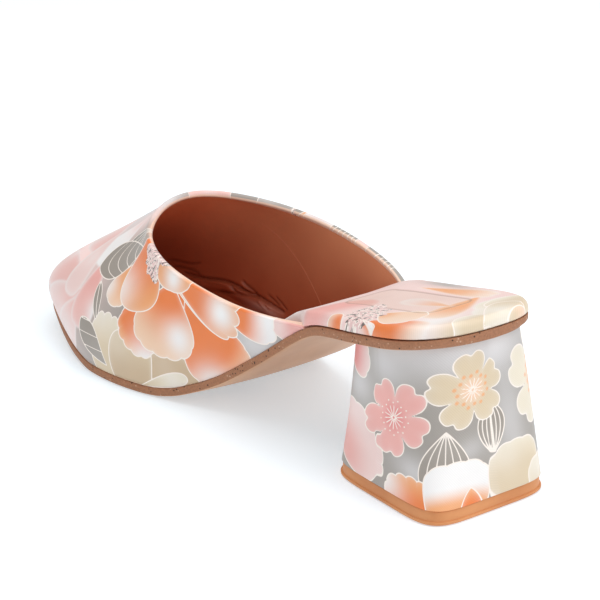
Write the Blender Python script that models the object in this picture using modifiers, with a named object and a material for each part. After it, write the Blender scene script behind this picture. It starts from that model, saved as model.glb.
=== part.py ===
"""Block heel mule, the right shoe of a pair, built as five separate sub-parts.

Sizes are millimetres in the shoe's own drawing: x runs forward from the back of the heel,
y runs to the wearer's left (the inner side of this shoe) and z runs up from the ground.
"""

from math import cos, pi, radians, sin

import bmesh
import bpy
import numpy as np

MM = 0.001

# Overall sizes
LENGTH = 242.0
SEAT_BACK = 1.6
GAP = 0.3

# Sole sizes
SOLE_THICK = 3.2
SOLE_CHAMFER = 0.5
SOLE_CROWN = 1.4
TOE_CAP = 222.0
TOE_POWER = 2.8
TOE_MIDDLE = 14.0
SEAT_CAP = 30.0
SEAT_POWER = 2.6
SOLE_STATIONS = 58

# Sole sections: distance along the shoe, height of the underside, inner edge, outer edge
SOLE_ROWS = [
    (-6.0, 62.94, 27.6, -27.2),
    (20.0, 57.12, 27.6, -27.2),
    (40.0, 52.64, 27.2, -27.0),
    (58.0, 48.61, 25.8, -26.7),
    (66.0, 46.1, 24.8, -26.6),
    (73.0, 42.6, 24.2, -26.6),
    (80.0, 38.0, 24.1, -26.7),
    (87.0, 32.8, 24.6, -26.9),
    (94.0, 27.4, 25.7, -27.2),
    (101.0, 22.1, 27.3, -27.6),
    (108.0, 16.9, 29.3, -28.1),
    (116.0, 11.5, 31.9, -28.7),
    (126.0, 6.1, 35.6, -29.6),
    (136.0, 2.0, 39.6, -30.5),
    (144.0, 0.3, 42.6, -31.1),
    (150.0, 0.0, 44.8, -31.4),
    (177.0, 0.0, 49.7, -29.8),
    (190.0, 1.6, 48.7, -26.3),
    (204.0, 4.2, 45.6, -20.9),
    (218.0, 7.0, 41.2, -14.8),
    (230.0, 9.2, 36.8, -9.4),
    (242.0, 11.2, 32.2, -4.5),
]

# Footbed sizes
BED_SEAT = 4.6
BED_FORE = 3.0
BED_INSET_SEAT = 0.7
BED_INSET_FORE = 4.0
BED_EDGE = 2.8
BED_STATIONS = 52

# Heel sizes
LIFT_LENGTH = 56.6
LIFT_WIDTH = 53.8
LIFT_THICK = 5.0
LIFT_LIP = 1.3
LIFT_STEP = 0.5
LIFT_POWER = 5.5
HEEL_FOOT_INSET = 0.3
HEEL_TOP_BACK = 5.0
HEEL_TOP_MIDDLE = 31.0
HEEL_TOP_FRONT = 48.6
HEEL_TOP_WIDTH = 51.0
HEEL_TOP_POWERS = (2.5, 6.0)
HEEL_BOW = 0.7
HEEL_LEVELS = 9
RING_POINTS = 48

# Upper sizes
WALL = 2.0
FEATHER_INSET = 0.5
WING_INNER = 73.5
WING_OUTER = 75.5
UPPER_LINES = 84
UPPER_STEPS = 14

# Upper lines, from the inner wing tip round the toe to the outer wing tip.
# share: place along the feather line; rim x, y, z: where the line ends on the topline;
# rise and bulge: how the wall leaves the feather line; drop and reach: how it meets the topline
UPPER_ROWS = [
    (0.000, 73.8, 23.8, 49.2, 1.0, 0.0, 88.0, 1.0),
    (0.041, 85.6, 28.0, 47.4, 3.0, 1.0, 88.0, 3.0),
    (0.112, 109.0, 33.2, 47.2, 9.0, 2.5, 88.0, 9.0),
    (0.185, 136.4, 36.5, 49.2, 14.0, 4.0, 80.0, 14.0),
    (0.270, 155.2, 33.6, 51.4, 15.0, 5.5, 66.0, 16.0),
    (0.335, 163.2, 30.0, 54.4, 14.0, 6.5, 52.0, 17.0),
    (0.430, 177.0, 17.9, 56.4, 11.0, 7.5, 22.0, 10.0),
    (0.487, 182.2, 7.0, 58.4, 9.5, 7.5, 6.0, 9.0),
    (0.540, 186.4, -5.5, 58.8, 10.0, 7.0, 2.0, 9.5),
    (0.650, 178.6, -22.6, 57.9, 14.5, 5.0, 22.0, 14.0),
    (0.780, 150.0, -31.2, 57.0, 18.0, 3.0, 70.0, 18.0),
    (0.885, 113.0, -32.1, 54.7, 12.0, 1.8, 86.0, 11.0),
    (0.955, 91.0, -29.0, 51.6, 5.0, 0.8, 88.0, 5.0),
    (1.000, 76.0, -26.0, 48.4, 1.0, 0.0, 88.0, 1.0),
]


def smooth(xs, ys):
    """A natural cubic curve through the rows of a table."""
    xs = np.asarray(xs, float)
    ys = np.asarray(ys, float)
    step = np.diff(xs)
    size = len(xs)
    matrix = np.eye(size)
    right = np.zeros(size)
    for i in range(1, size - 1):
        matrix[i, i - 1:i + 2] = step[i - 1], 2.0 * (step[i - 1] + step[i]), step[i]
        right[i] = 6.0 * ((ys[i + 1] - ys[i]) / step[i] - (ys[i] - ys[i - 1]) / step[i - 1])
    bend = np.linalg.solve(matrix, right)

    def value(x):
        i = int(np.clip(np.searchsorted(xs, x) - 1, 0, size - 2))
        a = (xs[i + 1] - x) / step[i]
        b = (x - xs[i]) / step[i]
        curve = (a ** 3 - a) * bend[i] + (b ** 3 - b) * bend[i + 1]
        return a * ys[i] + b * ys[i + 1] + curve * step[i] ** 2 / 6.0

    return value


def steady(xs, ys):
    """A curve through the rows of a table that keeps straight and level stretches exactly so."""
    xs = np.asarray(xs, float)
    ys = np.asarray(ys, float)
    step = np.diff(xs)
    rate = np.diff(ys) / step
    slope = np.concatenate([[rate[0]], np.zeros(len(xs) - 2), [rate[-1]]])
    for i in range(1, len(xs) - 1):
        if rate[i - 1] * rate[i] > 0.0:
            w1 = 2.0 * step[i] + step[i - 1]
            w2 = step[i] + 2.0 * step[i - 1]
            slope[i] = (w1 + w2) / (w1 / rate[i - 1] + w2 / rate[i])

    def value(x):
        i = int(np.clip(np.searchsorted(xs, x) - 1, 0, len(xs) - 2))
        u = (x - xs[i]) / step[i]
        return (ys[i] * (1 + 2 * u) * (1 - u) ** 2 + ys[i + 1] * u * u * (3 - 2 * u)
                + step[i] * (slope[i] * u * (1 - u) ** 2 + slope[i + 1] * u * u * (u - 1)))

    return value


STATION_X = [row[0] for row in SOLE_ROWS]
underside = steady(STATION_X, [row[1] for row in SOLE_ROWS])
inner_edge = smooth(STATION_X, [row[2] for row in SOLE_ROWS])
outer_edge = smooth(STATION_X, [row[3] for row in SOLE_ROWS])


def slant(x):
    """How much longer a sloping thickness is when measured straight up."""
    slope = underside(x + 0.5) - underside(x - 0.5)
    return (1.0 + slope * slope) ** 0.5


def sole_top(x):
    return underside(x) + SOLE_THICK * slant(x)


def rounded(share, power):
    share = min(max(share, 0.0), 1.0)
    return (1.0 - share ** power) ** (1.0 / power)


def edge(x, side, inset=0.0):
    """The plan outline at x on the inner (+1) or outer (-1) side, rounded at the toe and the seat."""
    tip = LENGTH - inset
    back = SEAT_BACK + inset
    y = inner_edge(x) - inset if side > 0 else outer_edge(x) + inset
    if x > TOE_CAP:
        y = TOE_MIDDLE + (y - TOE_MIDDLE) * rounded((x - TOE_CAP) / (tip - TOE_CAP), TOE_POWER)
    if x < SEAT_CAP:
        y = y * rounded((SEAT_CAP - x) / (SEAT_CAP - back), SEAT_POWER)
    return y


def stations(back, tip, count):
    """Places along the shoe, close together at the two rounded ends."""
    places = []
    for i in range(count):
        u = i / (count - 1)
        v = u - 0.80 * sin(2.0 * pi * u) / (2.0 * pi)
        places.append(back + 0.04 + (tip - back - 0.08) * v)
    return places


def node(name, mesh_maker, colour, roughness):
    """One named sub-part with its own material."""
    bm = bmesh.new()
    mesh_maker(bm)
    mesh = bpy.data.meshes.new(name)
    bm.to_mesh(mesh)
    bm.free()
    thing = bpy.data.objects.new(name, mesh)
    material = bpy.data.materials.new(name + "_material")
    material.use_nodes = True
    shader = material.node_tree.nodes["Principled BSDF"]
    shader.inputs["Base Color"].default_value = (*colour, 1.0)
    shader.inputs["Roughness"].default_value = roughness
    mesh.materials.append(material)
    shoe.objects.link(thing)
    thing.parent = stand
    return thing


def loft(bm, rings):
    """A closed solid through rings of points that all have the same count."""
    loops = []
    for ring in rings:
        loops.append([bm.verts.new((x * MM, y * MM, z * MM)) for x, y, z in ring])
    count = len(loops[0])
    for near, far in zip(loops, loops[1:]):
        for i in range(count):
            k = (i + 1) % count
            bm.faces.new((near[i], near[k], far[k], far[i]))
    bm.faces.new(loops[0])
    bm.faces.new(list(reversed(loops[-1])))
    bmesh.ops.recalc_face_normals(bm, faces=bm.faces)


def blend(x, start, end):
    """Goes smoothly from 0 to 1 between two places."""
    u = min(max((x - start) / (end - start), 0.0), 1.0)
    return u * u * (3.0 - 2.0 * u)


def make_outsole(bm):
    rings = []
    for x in stations(SEAT_BACK, LENGTH, SOLE_STATIONS):
        low = underside(x)
        high = sole_top(x)
        left = edge(x, 1)
        right = edge(x, -1)
        trim = min(SOLE_CHAMFER, 0.3 * (left - right))
        crown = SOLE_CROWN * blend(x, 92.0, 112.0) * (1.0 - blend(x, 122.0, 142.0))
        rings.append([(x, left - trim, low), (x, left, low + trim), (x, left, high),
                      (x, right, high), (x, right, low + trim), (x, right + trim, low),
                      (x, 0.75 * right + 0.25 * left, low - 0.75 * crown),
                      (x, 0.5 * (left + right), low - crown),
                      (x, 0.25 * right + 0.75 * left, low - 0.75 * crown)])
    loft(bm, rings)


def make_footbed(bm):
    rings = []
    tip = LENGTH - BED_INSET_FORE
    back = SEAT_BACK + BED_INSET_SEAT
    for x in stations(back, tip, BED_STATIONS):
        inset = BED_INSET_SEAT + (BED_INSET_FORE - BED_INSET_SEAT) * blend(x, 57.0, 71.0)
        thick = BED_SEAT + (BED_FORE - BED_SEAT) * blend(x, 60.0, 110.0)
        left = edge(x, 1, inset)
        right = edge(x, -1, inset)
        soft = min(BED_EDGE, 0.4 * (left - right))
        low = sole_top(x) + GAP * slant(x)
        rise = thick * slant(x)
        ends = 1.0 - 0.7 * blend(back + 3.0 - x, 0.0, 3.0) - 0.7 * blend(x - tip + 3.0, 0.0, 3.0)
        ring = []
        for side, y in ((1, left), (-1, right)):
            wall = []
            for angle in (-60.0, -15.0, 20.0, 50.0, 78.0):
                a = radians(angle)
                out = soft * (cos(a) - 1.0) if angle > 0 else 0.45 * soft * (cos(a) - 1.0)
                up = 0.5 + 0.5 * sin(a) if angle > 0 else 0.5 + 0.5 * sin(a) / sin(radians(60.0))
                wall.append((x, y + side * out, low + rise * (0.5 + (up - 0.5) * ends)))
            ring += wall if side > 0 else list(reversed(wall))
        rings.append(ring)
    loft(bm, rings)


def plan_ring(back, middle, front, width, powers):
    """Plan points of a rounded square, all the way round; its back and front round differently."""
    points = []
    for i in range(RING_POINTS):
        angle = 2.0 * pi * (i + 0.5) / RING_POINTS
        c = cos(angle)
        s = sin(angle)
        power = powers[1] if c > 0 else powers[0]
        reach = front - middle if c > 0 else back - middle
        side = 0.5 * width if s > 0 else -0.5 * width
        points.append((middle + reach * abs(c) ** (2.0 / power), side * abs(s) ** (2.0 / power)))
    return points


def make_heel(bm):
    rings = []
    foot = HEEL_FOOT_INSET
    for level in range(HEEL_LEVELS):
        h = level / (HEEL_LEVELS - 1)
        bow = HEEL_BOW * sin(pi * h)
        back = (1 - h) * foot + h * HEEL_TOP_BACK + bow
        middle = (1 - h) * 0.5 * LIFT_LENGTH + h * HEEL_TOP_MIDDLE
        front = (1 - h) * (LIFT_LENGTH - foot) + h * HEEL_TOP_FRONT - bow
        width = (1 - h) * (LIFT_WIDTH - 2 * foot) + h * HEEL_TOP_WIDTH - 2 * bow
        powers = [(1 - h) * LIFT_POWER + h * top for top in HEEL_TOP_POWERS]
        ring = []
        for x, y in plan_ring(back, middle, front, width, powers):
            top = underside(x) - GAP
            ring.append((x, y, (1 - h) * (LIFT_THICK + GAP) + h * top))
        rings.append(ring)
    loft(bm, rings)


def make_lift(bm):
    rings = []
    for z, inset in ((0.0, 0.4), (0.4, 0.0), (LIFT_LIP, 0.0), (LIFT_LIP + 0.02, LIFT_STEP),
                     (LIFT_THICK, LIFT_STEP + 0.2)):
        ring = plan_ring(inset, 0.5 * LIFT_LENGTH, LIFT_LENGTH - inset, LIFT_WIDTH - 2 * inset,
                         (LIFT_POWER, LIFT_POWER))
        rings.append([(x, y, z) for x, y in ring])
    loft(bm, rings)


def feather_line(count):
    """Evenly spaced points and outward directions along the feather line, inner wing tip to outer."""
    walk = []
    for x in np.linspace(WING_INNER, TOE_CAP, 120):
        walk.append((x, edge(x, 1)))
    for side in (1, -1):
        turn = []
        for angle in np.linspace(0.01, 0.5 * pi, 60):
            x = TOE_CAP + (LENGTH - TOE_CAP) * sin(angle) ** (2.0 / TOE_POWER)
            turn.append((x, edge(x, side)))
        walk += turn if side > 0 else list(reversed(turn))[1:]
    for x in np.linspace(TOE_CAP, WING_OUTER, 120):
        walk.append((x, edge(x, -1)))
    walk = np.array(walk)
    run = np.concatenate([[0.0], np.cumsum(np.hypot(*np.diff(walk, axis=0).T))])
    share = np.linspace(0.0, run[-1], count)
    line = np.stack([np.interp(share, run, walk[:, k]) for k in (0, 1)], axis=1)
    ahead = np.gradient(line, axis=0)
    ahead /= np.linalg.norm(ahead, axis=1)[:, None]
    out = np.stack([-ahead[:, 1], ahead[:, 0]], axis=1)
    return line - FEATHER_INSET * out, out


def make_upper(bm):
    bmesh.ops.create_grid(bm, x_segments=UPPER_LINES, y_segments=UPPER_STEPS, size=1.0)
    bm.verts.ensure_lookup_table()
    shares = [row[0] for row in UPPER_ROWS]
    column = [smooth(shares, [row[k] for row in UPPER_ROWS]) for k in range(1, 8)]
    line, out = feather_line(UPPER_LINES + 1)
    for vert in bm.verts:
        u = 0.5 + 0.5 * vert.co.x
        t = 0.5 + 0.5 * vert.co.y
        i = int(round(u * UPPER_LINES))
        rim_x, rim_y, rim_z, rise, bulge, drop, reach = [value(u) for value in column]
        foot = np.array([line[i][0], line[i][1], sole_top(line[i][0]) + GAP + 0.05])
        away = np.array([out[i][0], out[i][1], 0.0])
        up = np.array([0.0, 0.0, 1.0])
        rim = np.array([rim_x, rim_y, rim_z])
        first = foot + rise * up + bulge * away
        last = rim + reach * (cos(radians(drop)) * away - sin(radians(drop)) * up)
        s = 1.0 - t
        vert.co = (s ** 3 * foot + 3 * s * s * t * first + 3 * s * t * t * last + t ** 3 * rim) * MM
    bmesh.ops.reverse_faces(bm, faces=bm.faces)
    bm.normal_update()


for old in list(bpy.data.objects):
    bpy.data.objects.remove(old, do_unlink=True)

shoe = bpy.data.collections.new("block_heel_mule")
bpy.context.scene.collection.children.link(shoe)
stand = bpy.data.objects.new("mule_stand", None)
shoe.objects.link(stand)

parts = [
    node("outsole", make_outsole, (0.50, 0.29, 0.16), 0.6),
    node("footbed", make_footbed, (0.62, 0.45, 0.36), 0.6),
    node("heel_block", make_heel, (0.60, 0.50, 0.45), 0.5),
    node("top_lift", make_lift, (0.62, 0.29, 0.12), 0.5),
    node("upper", make_upper, (0.75, 0.40, 0.25), 0.6),
]

shell = parts[-1].modifiers.new("wall", "SOLIDIFY")
shell.thickness = WALL * MM
shell.offset = -1.0
shell.use_even_offset = True

# The shoe stands with the middle of its box over the origin
points = np.array([vert.co for part in parts for vert in part.data.vertices])
middle = 0.5 * (points.min(axis=0) + points.max(axis=0))
stand.location = (-middle[0], -middle[1], -points[:, 2].min())
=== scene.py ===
"""Looks of the block heel mule: printed upper, lining, wrapped footbed and heel, sole and top lift.

Sizes are millimetres in the shoe's own drawing: x runs forward from the back of the heel,
y runs to the wearer's left (the inner side of this right shoe) and z runs up from the ground.
"""

from math import cos, pi, radians, sin

import bmesh
import bpy
import numpy as np
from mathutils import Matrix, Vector


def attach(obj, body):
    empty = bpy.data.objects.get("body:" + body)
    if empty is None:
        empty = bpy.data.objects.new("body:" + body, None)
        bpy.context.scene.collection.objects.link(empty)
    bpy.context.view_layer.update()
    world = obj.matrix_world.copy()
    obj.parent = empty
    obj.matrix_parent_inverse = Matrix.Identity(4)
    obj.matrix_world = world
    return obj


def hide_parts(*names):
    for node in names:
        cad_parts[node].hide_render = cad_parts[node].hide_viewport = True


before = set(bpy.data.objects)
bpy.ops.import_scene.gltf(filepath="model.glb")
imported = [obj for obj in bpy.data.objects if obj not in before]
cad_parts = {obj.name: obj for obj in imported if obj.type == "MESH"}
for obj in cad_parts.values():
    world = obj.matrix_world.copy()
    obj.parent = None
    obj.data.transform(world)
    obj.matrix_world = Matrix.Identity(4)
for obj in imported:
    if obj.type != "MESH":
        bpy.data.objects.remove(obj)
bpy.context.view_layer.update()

MM = 0.001
MIDDLE = np.array([121.083, 7.754, 0])

# Sizes of the part's source, with the heel, the rim and the vamp's lines fitted a little closer
LENGTH = 242
SEAT_BACK = 1.6
GAP = 0.3
SOLE_THICK = 3.2
SOLE_CHAMFER = 0.5
SOLE_CROWN = 1.4
TOE_CAP = 222
TOE_POWER = 2.8
TOE_MIDDLE = 14
SEAT_CAP = 30
SEAT_POWER = 2.6
BED_SEAT = 4.6
BED_FORE = 3
BED_INSET_SEAT = 0.4
BED_INSET_FORE = 3.2
BED_EDGE = 2.8
LIFT_LENGTH = 56.6
LIFT_WIDTH = 53.8
LIFT_THICK = 5
LIFT_POWER = 5.5
HEEL_FOOT_INSET = 0.3
HEEL_TOP_BACK = 5
HEEL_TOP_MIDDLE = 31
HEEL_TOP_FRONT = 47.4
HEEL_TOP_WIDTH = 49.6
HEEL_TOP_POWERS = (2.5, 6)
HEEL_BOW = 0.35
HEEL_FOOT_AT = (-0.9, -0.55)
HEEL_TOP_ASIDE = -0.2
WALL = 2.6
FEATHER_INSET = 0.5
FEATHER_STEPS = 85
WING_INNER = 73.5
WING_OUTER = 75.5

# Sole sections: distance along the shoe, height of the underside, inner edge, outer edge
SOLE_ROWS = [
    (-6, 62.94, 27.6, -27.2),
    (20, 57.12, 27.6, -27.2),
    (40, 52.64, 27.2, -27),
    (58, 48.61, 25.8, -26.7),
    (66, 46.1, 24.8, -26.6),
    (73, 42.6, 24.2, -26.6),
    (80, 38, 24.1, -26.7),
    (87, 32.8, 24.6, -26.9),
    (94, 27.4, 25.7, -27.2),
    (101, 22.1, 27.3, -27.6),
    (108, 16.9, 29.3, -28.1),
    (116, 11.5, 31.9, -28.7),
    (126, 6.1, 35.6, -29.6),
    (136, 2, 39.6, -30.5),
    (144, 0.3, 42.6, -31.1),
    (150, 0, 44.8, -31.4),
    (177, 0, 49.7, -29.8),
    (190, 1.6, 48.7, -26.3),
    (204, 4.2, 45.6, -20.9),
    (218, 7, 41.2, -14.8),
    (230, 9.2, 36.8, -9.4),
    (242, 11.2, 32.2, -4.5),
]

# Upper lines, from the inner wing tip round the toe to the outer wing tip.
# share: place along the feather line; rim x, y, z: where the line ends on the topline;
# rise and bulge: how the wall leaves the feather line; drop and reach: how it meets the topline
UPPER_ROWS = [
    (0, 73.8, 23.8, 46.8, 0.3, 0, 88, 0.3),
    (0.041, 85.6, 28, 46.9, 3, 1, 88, 3),
    (0.112, 109, 32.8, 47, 9, 2.5, 88, 9),
    (0.185, 136, 35.3, 50, 14, 4, 80, 14),
    (0.27, 155.2, 32.6, 52.6, 15, 5.5, 66, 16),
    (0.335, 163.3, 30.3, 54.3, 15.7, 8.4, 70, 20),
    (0.43, 178.1, 19.9, 56, 13.3, 11.2, 55, 15.7),
    (0.487, 184.7, 9.8, 58.9, 9.2, 11.6, 46, 15.8),
    (0.54, 188.2, -3, 59.8, 9, 10.2, 32, 14.8),
    (0.65, 177.7, -23.6, 57.6, 13.5, 6.7, 37, 16.7),
    (0.78, 149.6, -32.2, 56.8, 18, 3, 70, 18),
    (0.885, 113.7, -31.7, 55.8, 12, 1.8, 86, 11),
    (0.955, 89.8, -30.8, 51, 5, 0.8, 88, 5),
    (1, 76, -26, 48.4, 1, 0, 88, 1),
]


# The shoe's own surfaces

def through(xs, ys, slope):
    """The cubic curve through the rows of a table with a slope at each."""
    step = np.diff(xs)

    def value(x):
        x = np.asarray(x, float)
        i = np.clip(np.searchsorted(xs, x) - 1, 0, len(xs) - 2)
        u = (x - xs[i]) / step[i]
        return (ys[i] * (1 + 2 * u) * (1 - u) ** 2 + ys[i + 1] * u * u * (3 - 2 * u)
                + step[i] * (slope[i] * u * (1 - u) ** 2 + slope[i + 1] * u * u * (u - 1)))

    return value


def smooth(xs, ys):
    """A natural cubic curve through the rows of a table."""
    xs, ys = np.array([xs, ys], float)
    step = np.diff(xs)
    rate = np.diff(ys) / step
    matrix = np.zeros((len(xs), len(xs)))
    matrix[0, :2] = 2, 1
    matrix[-1, -2:] = 1, 2
    for i in range(1, len(xs) - 1):
        matrix[i, i - 1:i + 2] = step[i], 2 * (step[i - 1] + step[i]), step[i - 1]
    right = np.concatenate([rate[:1], rate[:-1] * step[1:] + rate[1:] * step[:-1], rate[-1:]])
    return through(xs, ys, np.linalg.solve(matrix, 3 * right))


def steady(xs, ys):
    """A curve through the rows of a table that keeps straight and level stretches exactly so."""
    xs, ys = np.array([xs, ys], float)
    step = np.diff(xs)
    rate = np.diff(ys) / step
    slope = np.concatenate([rate[:1], np.zeros(len(xs) - 2), rate[-1:]])
    for i in range(1, len(xs) - 1):
        if rate[i - 1] * rate[i] > 0:
            w1 = 2 * step[i] + step[i - 1]
            w2 = step[i] + 2 * step[i - 1]
            slope[i] = (w1 + w2) / (w1 / rate[i - 1] + w2 / rate[i])
    return through(xs, ys, slope)


STATION_X, UNDERSIDE_Z, INNER_Y, OUTER_Y = zip(*SOLE_ROWS)
underside = steady(STATION_X, UNDERSIDE_Z)
inner_edge = smooth(STATION_X, INNER_Y)
outer_edge = smooth(STATION_X, OUTER_Y)


def ramp(x, low, high):
    """Goes smoothly from 0 to 1 between two values."""
    u = np.clip((x - low) / (high - low), 0, 1)
    return u * u * (3 - 2 * u)


def span(x, start, full, ease, end):
    """Rises from 0 to 1 between start and full, and goes back to 0 between ease and end."""
    return ramp(x, start, full) * (1 - ramp(x, ease, end))


def mound(a, b, x, y, wide, high):
    """A soft round rise of 1 about a point."""
    return np.exp(-((a - x) / wide) ** 2 - ((b - y) / high) ** 2)


def run_along(points):
    """Distances along a line of points, from its first."""
    steps = np.linalg.norm(np.diff(points, axis=-2), axis=-1)
    return np.concatenate([np.zeros_like(steps[..., :1]), np.cumsum(steps, axis=-1)], axis=-1)


def slant(x):
    """How much longer a sloping thickness is when measured straight up."""
    slope = underside(x + 0.5) - underside(x - 0.5)
    return np.sqrt(1 + slope * slope)


def sole_top(x):
    return underside(x) + SOLE_THICK * slant(x)


def rounded(share, power):
    share = np.clip(share, 0, 1)
    return (1 - share ** power) ** (1 / power)


def edge(x, side, inset=0):
    """The plan outline at x on the inner (+1) or outer (-1) side, rounded at the toe and the seat."""
    x = np.asarray(x, float)
    tip = LENGTH - inset
    back = SEAT_BACK + inset
    y = inner_edge(x) - inset if side > 0 else outer_edge(x) + inset
    toe = TOE_MIDDLE + (y - TOE_MIDDLE) * rounded((x - TOE_CAP) / (tip - TOE_CAP), TOE_POWER)
    y = np.where(x > TOE_CAP, toe, y)
    seat = y * rounded((SEAT_CAP - x) / (SEAT_CAP - back), SEAT_POWER)
    return np.where(x < SEAT_CAP, seat, y)


def feather_curves():
    """Curves of the feather line and its outward direction, inner wing tip to outer, and its length."""
    turn = np.linspace(0.01, 0.5 * pi, 60)
    toe_x = TOE_CAP + (LENGTH - TOE_CAP) * np.sin(turn) ** (2 / TOE_POWER)
    there = np.linspace(WING_INNER, TOE_CAP, 120)
    back = np.linspace(TOE_CAP, WING_OUTER, 120)
    legs = [(there, 1), (toe_x, 1), (toe_x[::-1][1:], -1), (back, -1)]
    walk = np.concatenate([np.stack([x, edge(x, side)], axis=1) for x, side in legs])
    run = run_along(walk)
    share = np.linspace(0, 1, FEATHER_STEPS)
    line = np.stack([np.interp(share * run[-1], run, walk[:, k]) for k in (0, 1)], axis=1)
    ahead = np.gradient(line, axis=0)
    ahead /= np.linalg.norm(ahead, axis=1)[:, None]
    out = np.stack([-ahead[:, 1], ahead[:, 0]], axis=1)
    line -= FEATHER_INSET * out
    curves = [smooth(share, row) for row in (line[:, 0], line[:, 1], out[:, 0], out[:, 1])]
    return curves, run[-1]


FEATHER, FEATHER_LENGTH = feather_curves()
UPPER_SHARES, *UPPER_COLUMNS = zip(*UPPER_ROWS)
UPPER_CURVES = [smooth(UPPER_SHARES, column) for column in UPPER_COLUMNS]


def upper_face(share, t):
    """A point of the upper's outer face, t running from the feather line up to the topline."""
    x, y, out_x, out_y = [curve(share) for curve in FEATHER]
    rim_x, rim_y, rim_z, rise, bulge, drop, reach = [curve(share) for curve in UPPER_CURVES]
    foot = np.stack([x, y, sole_top(x) + 0.1], axis=-1)
    away = np.stack([out_x, out_y, 0 * x], axis=-1)
    up = np.array([0, 0, 1])
    rim = np.stack([rim_x, rim_y, rim_z], axis=-1)
    first = foot + rise[..., None] * up + bulge[..., None] * away
    drop = np.radians(drop)[..., None]
    last = rim + reach[..., None] * (np.cos(drop) * away - np.sin(drop) * up)
    t = t[..., None]
    s = 1 - t
    return s ** 3 * foot + 3 * s * s * t * first + 3 * s * t * t * last + t ** 3 * rim


def upper_out(share, t):
    """The outward direction of the upper's outer face."""
    step = 1e-3
    ends = share - step, share + step, t - step, t + step
    left, right, low, high = [np.clip(end, 0, 1) for end in ends]
    along = upper_face(right, t) - upper_face(left, t)
    rise = upper_face(share, high) - upper_face(share, low)
    out = np.cross(along, rise)
    return -out / np.linalg.norm(out, axis=-1)[..., None]


def heel_ring(angle, h):
    """A point of the heel's side: angle round from the front, h its share of the height from the foot."""
    def between(foot, top):
        return (1 - h) * foot + h * top

    bow = HEEL_BOW * np.sin(pi * h)
    back = between(HEEL_FOOT_INSET, HEEL_TOP_BACK) + bow
    middle = between(0.5 * LIFT_LENGTH, HEEL_TOP_MIDDLE)
    front = between(LIFT_LENGTH - HEEL_FOOT_INSET, HEEL_TOP_FRONT) - bow
    width = between(LIFT_WIDTH - 2 * HEEL_FOOT_INSET, HEEL_TOP_WIDTH) - 2 * bow
    c, s = np.cos(angle), np.sin(angle)
    power = between(LIFT_POWER, np.where(c > 0, HEEL_TOP_POWERS[1], HEEL_TOP_POWERS[0]))
    x = middle + np.where(c > 0, front - middle, back - middle) * np.abs(c) ** (2 / power)
    x = x + (1 - h) * HEEL_FOOT_AT[0]
    y = np.sign(s) * 0.5 * width * np.abs(s) ** (2 / power)
    y = y + between(HEEL_FOOT_AT[1], HEEL_TOP_ASIDE)
    z = between(LIFT_THICK + GAP, underside(x) - GAP)
    return np.stack([x, y, z], axis=-1)


# The print

def ink(red, green, blue):
    """An ink from its everyday 0 to 255 values."""
    c = np.array([red, green, blue], float) / 255
    return np.where(c <= 0.04045, c / 12.92, ((c + 0.055) / 1.055) ** 2.4)


def mix(first, second, share):
    share = np.asarray(share)[..., None]
    return first * (1 - share) + second * share


ORANGE = ink(239, 128, 62)
APRICOT = ink(241, 168, 112)
PEACH = ink(244, 206, 176)
ROSE = ink(233, 146, 142)
BLUSH = ink(240, 176, 168)
PINK = ink(240, 190, 182)
PETAL = ink(243, 212, 206)
CREAM = ink(236, 224, 203)
SAND = ink(222, 202, 172)
TAN = ink(206, 180, 148)
WHITE = ink(247, 243, 241)
GREY = ink(166, 158, 151)
STONE = ink(182, 174, 168)
MIST = ink(225, 221, 221)
LEAF = ink(158, 148, 138)
LINE = ink(252, 240, 230)
# The topline edge's peach, lightened as a painted highlight
PEACH_EDGE_HIGHLIGHT = ink(250, 212, 188)
FAR = 9.0


class Cloth:
    """A printed cloth: its colour, its shapes, and the distance to a shape's edge and to drawn lines."""

    def __init__(self, count, ground):
        self.colour = np.tile(ground, (count, 1))
        self.edge = np.full(count, FAR)
        self.drawn = np.full(count, FAR)
        self.lace = np.zeros(count)
        self.shape = np.zeros(count, int)
        self.shapes = 0

    def lay(self, spots, depth, colour, cells=0, gap=FAR):
        """Lays one shape: depth is the distance inside its edge, and its cells are parted by gap."""
        inside = depth > 0
        self.shapes += 1
        self.colour[spots[inside]] = colour[inside]
        around = np.minimum(self.edge[spots], np.abs(depth))
        self.edge[spots] = np.where(inside, np.minimum(depth, gap), around)
        self.drawn[spots[inside]] = FAR
        self.lace[spots[inside]] = 0
        self.shape[spots[inside]] = (self.shapes * 100 + cells + np.zeros(len(spots), int))[inside]

    def wash(self, spots, depth, colour, soft):
        """Lays a shape that has a soft edge and no outline, under the outlined ones."""
        self.colour[spots] = mix(self.colour[spots], colour, ramp(depth, -soft, soft))

    def draw(self, spots, distance):
        """Draws a pale line where the distance is small."""
        self.drawn[spots] = np.minimum(self.drawn[spots], distance)


def depth_of(shape, a, b):
    """Turns a shape's level into a distance inside its edge, by its slope."""
    step = 0.05
    da = (shape(a + step, b) - shape(a - step, b)) / (2 * step)
    db = (shape(a, b + step) - shape(a, b - step)) / (2 * step)
    return -shape(a, b) / np.maximum(np.hypot(da, db), 1e-4)


def moved(flat, x, y, turn):
    """Flat places measured from another point and direction, to place a drawing or use it again."""
    a, b = flat[0] - x, flat[1] - y
    c, s = cos(radians(turn)), sin(radians(turn))
    return np.stack([a * c + b * s, b * c - a * s])


def paled(colour, depth, strength, width):
    """Lets a shape's colour go pale towards its edge."""
    return mix(colour, WHITE, strength * np.exp(-np.maximum(depth, 0) / width))


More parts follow.
